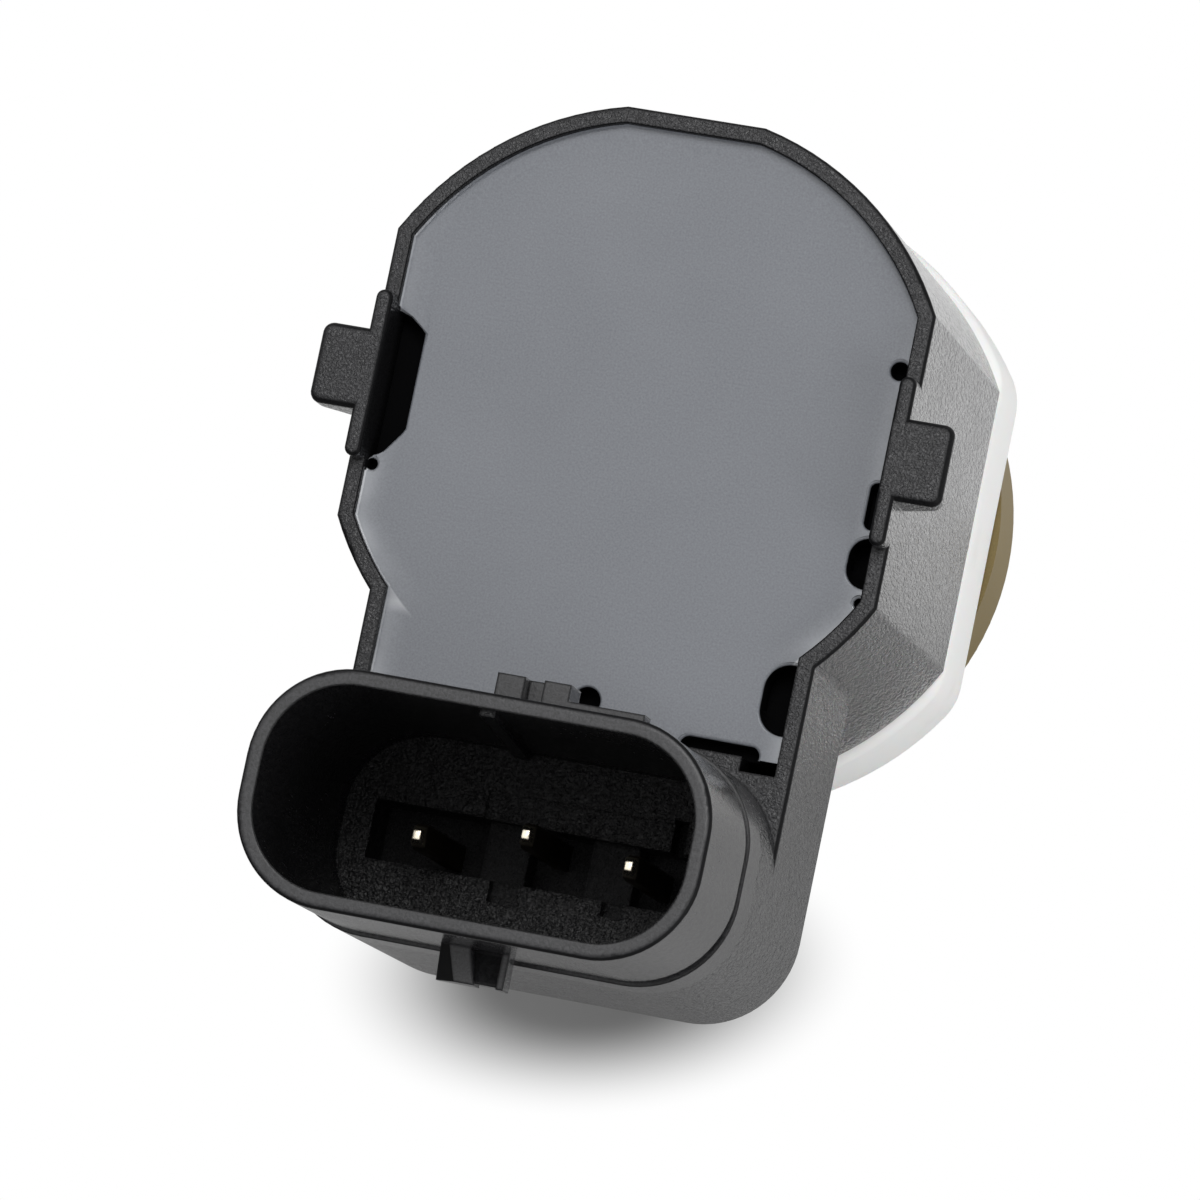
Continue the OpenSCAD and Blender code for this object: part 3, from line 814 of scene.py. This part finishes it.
@dataclass
class Casting:
    """The grey casting in the housing's pocket, with voids along its edge that get painted shade, in
    millimetres.
    """

    resin: CastResin = CastResin()
    shade: VoidShade = VoidShade()
    void_drop_mm: float = 0.1
    wall_x: float = -12.2
    lens_middle: Tuple[float, float] = (-15.95, -0.4026)
    lens_r: float = 5.15
    lip: float = 0.15
    slot_w: float = 1.42
    slot_ends: Tuple[float, float] = (-3.93, 3.13)
    slot_starts: Tuple[float, float] = (0.3, 0.35)
    slot_slants: Tuple[float, float] = (0.72, 1.3)
    slot_clear: Tuple[float, float] = (0.18, 0.08)
    near: float = 0.02
    low_z: float = 20.0
    sharp_deg: float = 8.0

    def shape_slot(self, bm: bmesh.types.BMesh) -> None:
        """Draws the lens-shaped void beside the left lug out to a slot with slanting ends.

        Args:
            bm: The casting's mesh.
        """
        moved = 0
        for vert in bm.verts:
            x, y, z = vert.co / MM
            r = sqrt((x - self.lens_middle[0]) ** 2 + (y - self.lens_middle[1]) ** 2)
            on_wall = self.lens_r - self.near < r < self.lens_r + self.lip + self.near
            between = self.slot_ends[0] + self.slot_clear[0] < y < self.slot_ends[1] - self.slot_clear[1]
            if z < self.low_z or x < self.wall_x + self.near or not on_wall or not between:
                continue
            low = self.slot_starts[0] + (y - self.slot_ends[0]) * self.slot_slants[0]
            high = self.slot_starts[1] + (self.slot_ends[1] - y) * self.slot_slants[1]
            width = min(self.slot_w, low, high) + r - self.lens_r
            shift = max(0.0, self.wall_x + width - x)
            bmesh.ops.translate(bm, verts=[vert], vec=Vector((shift, 0.0, 0.0)) * MM)
            moved += 1
        LOG.info("slot beside the left lug: %d corners placed", moved)

    def build(self) -> bpy.types.Object:
        """Makes the casting and marks the faces that lie below its surface.

        Returns:
            The piece.
        """
        bm = merged_copy("potting")
        self.shape_slot(bm)
        low = (self.resin.level - self.void_drop_mm) * MM
        for face in bm.faces:
            face.material_index = int(face.calc_center_median().z < low)
        return add_piece(bm, "casting", "potting", self.sharp_deg)

    def dress(self, piece: bpy.types.Object) -> None:
        """Gives the casting's surface its resin and the voids their painted shade."""
        piece.data.materials.append(self.resin.material())
        piece.data.materials.append(self.shade.material())


@dataclass
class SoftRing:
    """The white ring between the housing and the front, with flat sides and round corners, in millimetres."""

    rim_r: float = 15.1
    half_w: float = 13.0
    corner_r: float = 3.0
    low_z: float = 4.2
    high_z: float = 10.0
    rounding: float = 0.8
    bore_r: float = 8.0
    sleeve_r: float = 9.0
    sleeve_z: float = 0.3
    spigot_r: float = 10.5
    spigot_z: float = 13.4
    corner_steps: int = 8
    arc_steps: int = 40
    edge_steps: int = 6
    bore_steps: int = 96
    sharp_deg: float = 35.0
    soft: SoftWhite = SoftWhite()

    def outline(self, bm: bmesh.types.BMesh, inward: float, z: float) -> List[bmesh.types.BMEdge]:
        """Draws the ring's outline once round, by turning one corner about the centres of its arcs.

        Args:
            bm: The mesh.
            inward: Distance that the outline is drawn in.
            z: Its level.

        Returns:
            The edges of the closed line.
        """
        middle_x = self.half_w - self.corner_r
        middle_y = sqrt((self.rim_r - self.corner_r) ** 2 - middle_x ** 2)
        bend = atan2(middle_y, middle_x)
        old = set(bm.verts)
        made = bmesh.ops.create_vert(bm, co=Vector((self.half_w - inward, -middle_y, z)) * MM)
        last: List[bmesh.types.BMVert] = made["vert"]
        for side in (1.0, -1.0):
            moved = bmesh.ops.extrude_vert_indiv(bm, verts=last)
            last = moved["verts"]
            bmesh.ops.translate(bm, verts=last, vec=Vector((0.0, side * 2.0 * middle_y, 0.0)) * MM)
            for centre, angle, steps in (((side * middle_x, side * middle_y), bend, self.corner_steps),
                                         ((0.0, 0.0), pi - 2.0 * bend, self.arc_steps),
                                         ((-side * middle_x, side * middle_y), bend, self.corner_steps)):
                turned = bmesh.ops.spin(bm, geom=last, cent=Vector((*centre, z)) * MM, axis=(0.0, 0.0, 1.0),
                                        angle=angle, steps=steps)
                last = [v for v in turned["geom_last"] if isinstance(v, bmesh.types.BMVert)]
        new = [v for v in bm.verts if v not in old]
        bmesh.ops.remove_doubles(bm, verts=new, dist=0.001 * MM)
        kept = {v for v in bm.verts if v not in old}
        return [e for e in bm.edges if e.verts[0] in kept and e.verts[1] in kept]

    def build(self) -> bpy.types.Object:
        """Makes the ring: its rim between rounded outlines, then sleeve, bore and spigot by one full turn.

        Returns:
            The piece.
        """
        bm = bmesh.new()
        turns = [0.5 * pi * i / self.edge_steps for i in range(self.edge_steps + 1)]
        a = self.rounding
        levels = [(a * (1.0 - sin(t)), self.low_z + a * (1.0 - cos(t))) for t in turns]
        levels += [(a * (1.0 - cos(t)), self.high_z - a * (1.0 - sin(t))) for t in turns]
        lines = [self.outline(bm, inward, z) for inward, z in levels]
        for lower, upper in zip(lines, lines[1:]):
            bmesh.ops.bridge_loops(bm, edges=lower + upper)
        old = set(bm.edges)
        made = bmesh.ops.create_vert(bm, co=Vector((self.sleeve_r, 0.0, self.low_z)) * MM)
        last, section = made["vert"], list(made["vert"])
        for r, z in ((self.sleeve_r, self.sleeve_z), (self.bore_r, self.sleeve_z),
                     (self.bore_r, self.spigot_z), (self.spigot_r, self.spigot_z),
                     (self.spigot_r, self.high_z)):
            moved = bmesh.ops.extrude_vert_indiv(bm, verts=last)
            bmesh.ops.translate(bm, verts=moved["verts"], vec=Vector((r, 0.0, z)) * MM - moved["verts"][0].co)
            last = moved["verts"]
            section += moved["verts"] + moved["edges"]
        bmesh.ops.spin(bm, geom=section, cent=(0.0, 0.0, 0.0), axis=(0.0, 0.0, 1.0), angle=2.0 * pi,
                       steps=self.bore_steps, use_merge=True)
        turned = [e for e in bm.edges if e not in old and len(e.link_faces) == 1]
        for line, z, way in ((lines[0], self.low_z, -1.0), (lines[-1], self.high_z, 1.0)):
            circle = [e for e in turned if abs(e.verts[0].co.z - z * MM) < 0.01 * MM]
            bmesh.ops.triangle_fill(bm, use_beauty=True, edges=line + circle, normal=(0.0, 0.0, way))
        return add_piece(bm, "soft_ring", "decoupling_ring", self.sharp_deg)

    def dress(self, piece: bpy.types.Object) -> None:
        """Gives the ring and the seal in the cup their white finish.

        Args:
            piece: The ring.
        """
        material = self.soft.material()
        piece.data.materials.append(material)
        dress_nodes(["cup_seal"], material)


@dataclass
class Housing:
    """The black moulding with the pocket, the side lugs and the plug socket."""

    plastic: MouldedBlack = MouldedBlack()

    def dress(self) -> None:
        """Gives the moulding its finish."""
        dress_nodes(["housing"], self.plastic.material())


@dataclass
class PlugContacts:
    """The three blades in the plug socket."""

    finish: PlatedContact = PlatedContact()
    rounding_mm: float = 0.07

    def build(self) -> List[bpy.types.Object]:
        """Makes the blades with rounded edges."""
        return [rounded_copy(f"contact_{side}", f"blade_{side}", self.rounding_mm)
                for side in ("left", "middle", "right")]

    def dress(self, pieces: Sequence[bpy.types.Object]) -> None:
        """Gives the blades and the transducer's pins their plating.

        Args:
            pieces: The blades.
        """
        material = self.finish.material()
        for piece in pieces:
            piece.data.materials.append(material)
        dress_nodes(["transducer_pins"], material)


@dataclass
class SoundHead:
    """The painted front with its cup and what lies inside the cup."""

    paint: BronzePaint = BronzePaint()
    foam: InnerFinish = InnerFinish(
        "damping_foam", (0.12, 0.12, 0.125), (0.3, 0.3, 0.31), 0.85, 3.0, 0.2)
    ceramic: InnerFinish = InnerFinish(
        "piezo_ceramic", (0.42, 0.36, 0.27), (0.6, 0.54, 0.44), 0.5, 6.0, 0.004)
    carrier: InnerFinish = InnerFinish(
        "carrier_plastic", (0.02, 0.02, 0.021), (0.045, 0.045, 0.047), 0.5, 4.0, 0.01)
    wire: InnerFinish = InnerFinish(
        "lead_wire", (0.35, 0.13, 0.05), (0.62, 0.27, 0.12), 0.3, 5.0, 0.004, 1.0)

    def dress(self) -> None:
        """Gives each solid of the sound head its finish."""
        dress_nodes(["front_ring", "membrane_cup"], self.paint.material())
        dress_nodes(["damping_foam"], self.foam.material())
        dress_nodes(["piezo_disc"], self.ceramic.material())
        dress_nodes(["transducer_carrier"], self.carrier.material())
        dress_nodes(["signal_lead", "ground_lead"], self.wire.material())


@dataclass
class BoardParts:
    """The circuit board and the parts on it, inside the casting."""

    laminate: InnerFinish = InnerFinish(
        "board_laminate", (0.012, 0.07, 0.028), (0.03, 0.13, 0.055), 0.35, 2.5, 0.01)
    moulded: InnerFinish = InnerFinish(
        "part_moulding", (0.018, 0.018, 0.02), (0.04, 0.04, 0.043), 0.45, 5.0, 0.01)
    fired: InnerFinish = InnerFinish(
        "fired_ceramic", (0.32, 0.22, 0.13), (0.52, 0.39, 0.26), 0.5, 5.0, 0.006)
    ferrite: InnerFinish = InnerFinish(
        "sintered_ferrite", (0.045, 0.045, 0.05), (0.1, 0.1, 0.105), 0.6, 6.0, 0.01)
    copper: InnerFinish = InnerFinish(
        "enamelled_copper", (0.35, 0.12, 0.045), (0.6, 0.25, 0.1), 0.3, 8.0, 0.02, 1.0)

    def dress(self) -> None:
        """Gives the board and its parts their finishes."""
        dress_nodes(["circuit_board"], self.laminate.material())
        dress_nodes(["control_chip", "transformer_bobbin", "protection_diode", "resistors"],
                    self.moulded.material())
        dress_nodes(["supply_capacitor", "tuning_capacitor", "ceramic_capacitors"], self.fired.material())
        dress_nodes(["transformer_core"], self.ferrite.material())
        dress_nodes(["transformer_winding"], self.copper.material())


@dataclass
class Lamp:
    """One soft panel light aimed at the part."""

    name: str
    place: Tuple[float, float, float]
    size: float
    power: float

    def build(self, aim: Vector) -> bpy.types.Object:
        """Makes the lamp.

        Args:
            aim: Point that it faces.

        Returns:
            The lamp.
        """
        data = bpy.data.lights.new(self.name, "AREA")
        data.shape = "DISK"
        data.size = self.size
        data.energy = self.power
        lamp = bpy.data.objects.new(self.name, data)
        bpy.context.scene.collection.objects.link(lamp)
        lamp.location = self.place
        lamp.rotation_mode = "QUATERNION"
        lamp.rotation_quaternion = (aim - Vector(self.place)).to_track_quat("-Z", "Y")
        return lamp


@dataclass
class Studio:
    """Pale floor, soft light and the camera. Places are in metres."""

    aim: Tuple[float, float, float] = (0.0, -0.006, 0.022)
    camera_place: Tuple[float, float, float] = (0.08576017, -0.05307523, 0.37342947)
    camera_turn: Tuple[float, float, float, float] = (0.98630241, 0.07357312, 0.11401556, 0.09378164)
    lens: float = 233.614
    sensor_width: float = 36.0
    clip: Tuple[float, float] = (0.01, 20.0)
    floor_half: float = 1.6
    floor_white: float = 0.4
    floor_shade: float = 0.29
    shade_middle: Tuple[float, float] = (-0.0035, -0.0234)
    shade_size: Tuple[float, float] = (0.0094, 0.0049)
    shade_turn: float = 0.215
    shade_fade: Tuple[float, float] = (0.5, 1.5)
    foot_middle: Tuple[float, float] = (-0.003, 0.0016)
    foot_r: float = 0.0145
    foot_fade: Tuple[float, float] = (0.85, 1.08)
    mirror_from: Tuple[float, float] = (-0.0127, 0.004)
    sky_left: float = 0.2
    sky_right: float = 0.65
    backdrop_top: Tuple[float, float] = (0.05, 0.3)
    lamps: Tuple[Lamp, ...] = (
        Lamp("key_panel", (0.1, 0.28, 0.66), 0.36, 2.4),
        Lamp("overhead_panel", (-0.2, 0.08, 0.75), 0.7, 1.3),
        Lamp("side_panel", (0.5, -0.22, 0.2), 0.36, 1.5),
    )

    def build(self) -> None:
        """Makes the floor, the light and the camera."""
        self.build_floor()
        self.build_sky()
        for lamp in self.lamps:
            lamp.build(Vector(self.aim))
        self.build_camera()

    def build_floor(self) -> None:
        """Makes a white floor that keeps the part's shadow, with its paint darkened in an oval under the
        socket as a painted shadow.
        """
        bm = bmesh.new()
        bmesh.ops.create_grid(bm, x_segments=2, y_segments=2, size=self.floor_half)
        mesh = bpy.data.meshes.new("studio_floor")
        bm.to_mesh(mesh)
        bm.free()
        floor = bpy.data.objects.new("studio_floor", mesh)
        bpy.context.scene.collection.objects.link(floor)
        material = bpy.data.materials.new("studio_floor")
        material.use_nodes = True
        tree = material.node_tree
        tree.nodes.clear()
        output = tree.nodes.new("ShaderNodeOutputMaterial")
        mix = tree.nodes.new("ShaderNodeMixShader")
        paint = tree.nodes.new("ShaderNodeBsdfDiffuse")
        glow = tree.nodes.new("ShaderNodeEmission")
        away = self.oval_distance(tree, self.shade_middle, self.shade_size, self.shade_turn)
        # Painted shadow: the floor's paint runs from floor_shade in the middle of the oval to floor_white
        # outside it.
        grey = self.faded(tree, away, self.shade_fade, (self.floor_shade, self.floor_white))
        tree.links.new(grey, paint.inputs["Color"])
        tree.links.new(self.white_share(tree, away), mix.inputs["Fac"])
        tree.links.new(paint.outputs["BSDF"], mix.inputs[1])
        tree.links.new(glow.outputs["Emission"], mix.inputs[2])
        tree.links.new(mix.outputs["Shader"], output.inputs["Surface"])
        mesh.materials.append(material)

    def oval_distance(self, tree: bpy.types.NodeTree, middle: Tuple[float, float], size: Tuple[float, float],
                      turn: float = 0.0) -> Socket:
        """Distance from the middle of an oval on the floor, in shares of its size.

        Args:
            tree: The floor's node tree.
            middle: Middle of the oval.
            size: Its half axes.
            turn: Angle of its long axis.

        Returns:
            0 in the middle, 1 on the oval.
        """
        coordinates = tree.nodes.new("ShaderNodeTexCoord")
        shifted = tree.nodes.new("ShaderNodeMapping")
        shifted.vector_type = "TEXTURE"
        shifted.inputs["Location"].default_value = (*middle, 0.0)
        shifted.inputs["Rotation"].default_value = (0.0, 0.0, turn)
        shifted.inputs["Scale"].default_value = (*size, 1.0)
        tree.links.new(coordinates.outputs["Object"], shifted.inputs["Vector"])
        away = tree.nodes.new("ShaderNodeVectorMath")
        away.operation = "LENGTH"
        tree.links.new(shifted.outputs["Vector"], away.inputs[0])
        return away.outputs["Value"]

    def white_share(self, tree: bpy.types.NodeTree, away: Socket) -> Socket:
        """Where the floor shows plain white to camera and gloss; the shadow under the socket stays.

        Args:
            tree: The floor's node tree.
            away: Distance from the middle of the shadow.

        Returns:
            Share of white from 0 to 1.
        """
        path = tree.nodes.new("ShaderNodeLightPath")
        coordinates = tree.nodes.new("ShaderNodeTexCoord")
        split = tree.nodes.new("ShaderNodeSeparateXYZ")
        tree.links.new(coordinates.outputs["Object"], split.inputs[0])
        foot = self.oval_distance(tree, self.foot_middle, (self.foot_r, self.foot_r))
        clear = self.joined(tree, Op.SMALLER, self.faded(tree, away, self.shade_fade),
                            self.faded(tree, foot, self.foot_fade))
        seen = self.joined(tree, Op.TIMES, clear, path.outputs["Is Camera Ray"])
        beyond = self.faded(tree, split.outputs[1], self.mirror_from)
        mirrored = self.joined(tree, Op.TIMES, beyond, self.bent_rays(tree, path))
        return self.joined(tree, Op.LARGER, seen, mirrored)

    def bent_rays(self, tree: bpy.types.NodeTree, path: bpy.types.Node) -> Socket:
        """Marks the rays that gloss and clear materials send on."""
        return self.joined(tree, Op.LARGER, path.outputs["Is Glossy Ray"],
                           path.outputs["Is Transmission Ray"])

    def faded(self, tree: bpy.types.NodeTree, value: Socket, reach: Tuple[float, float],
              ends: Tuple[float, float] = (0.0, 1.0), kind: Fade = Fade.SOFT) -> Socket:
        """A value brought from one range to another.

        Args:
            tree: The node tree.
            value: What is brought over.
            reach: Start and end of its range.
            ends: Results there.
            kind: How it runs between them.

        Returns:
            The result.
        """
        node = tree.nodes.new("ShaderNodeMapRange")
        node.interpolation_type = kind.value
        for name, number in zip(("From Min", "From Max", "To Min", "To Max"), (*reach, *ends)):
            node.inputs[name].default_value = number
        tree.links.new(value, node.inputs["Value"])
        return node.outputs["Result"]

    def joined(self, tree: bpy.types.NodeTree, operation: Op, first: Socket, second: Socket) -> Socket:
        """One sum of two values.

        Args:
            tree: The node tree.
            operation: Which sum.
            first: First value.
            second: Second value.

        Returns:
            The result.
        """
        node = tree.nodes.new("ShaderNodeMath")
        node.operation = operation.value
        tree.links.new(first, node.inputs[0])
        tree.links.new(second, node.inputs[1])
        return node.outputs[0]

    def build_sky(self) -> None:
        """Lights the scene all round, brighter from the right, before a backdrop that shows white."""
        world = bpy.data.worlds.new("studio_sky")
        bpy.context.scene.world = world
        world.use_nodes = True
        tree = world.node_tree
        tree.nodes.clear()
        output = tree.nodes.new("ShaderNodeOutputWorld")
        coordinates = tree.nodes.new("ShaderNodeTexCoord")
        split = tree.nodes.new("ShaderNodeSeparateXYZ")
        tree.links.new(coordinates.outputs["Generated"], split.inputs[0])
        side = self.faded(tree, split.outputs[0], (-1.0, 1.0), (self.sky_left, self.sky_right), Fade.EVEN)
        plain = tree.nodes.new("ShaderNodeBackground")
        tree.links.new(side, plain.inputs["Strength"])
        white = tree.nodes.new("ShaderNodeBackground")
        path = tree.nodes.new("ShaderNodeLightPath")
        mix = tree.nodes.new("ShaderNodeMixShader")
        low = self.faded(tree, split.outputs[2], self.backdrop_top, (1.0, 0.0), Fade.EVEN)
        mirrored = self.joined(tree, Op.TIMES, low, self.bent_rays(tree, path))
        seen = self.joined(tree, Op.LARGER, path.outputs["Is Camera Ray"], mirrored)
        tree.links.new(seen, mix.inputs["Fac"])
        tree.links.new(plain.outputs["Background"], mix.inputs[1])
        tree.links.new(white.outputs["Background"], mix.inputs[2])
        tree.links.new(mix.outputs["Shader"], output.inputs["Surface"])

    def build_camera(self) -> None:
        """Places the camera at the viewing angle."""
        data = bpy.data.cameras.new("view_camera")
        data.sensor_width = self.sensor_width
        data.lens = self.lens
        data.clip_start, data.clip_end = self.clip
        camera = bpy.data.objects.new("view_camera", data)
        bpy.context.scene.collection.objects.link(camera)
        camera.location = self.camera_place
        camera.rotation_mode = "QUATERNION"
        camera.rotation_quaternion = Quaternion(self.camera_turn)
        bpy.context.scene.camera = camera


def main() -> None:
    """Builds and dresses the sub-assemblies in order."""
    logging.basicConfig(level=logging.INFO, format="%(name)s: %(message)s")
    bpy.context.scene.view_settings.view_transform = "Standard"
    Housing().dress()
    casting = Casting()
    casting.dress(casting.build())
    contacts = PlugContacts()
    contacts.dress(contacts.build())
    ring = SoftRing()
    ring.dress(ring.build())
    SoundHead().dress()
    BoardParts().dress()
    Studio().build()


if __name__ == "__main__":
    main()
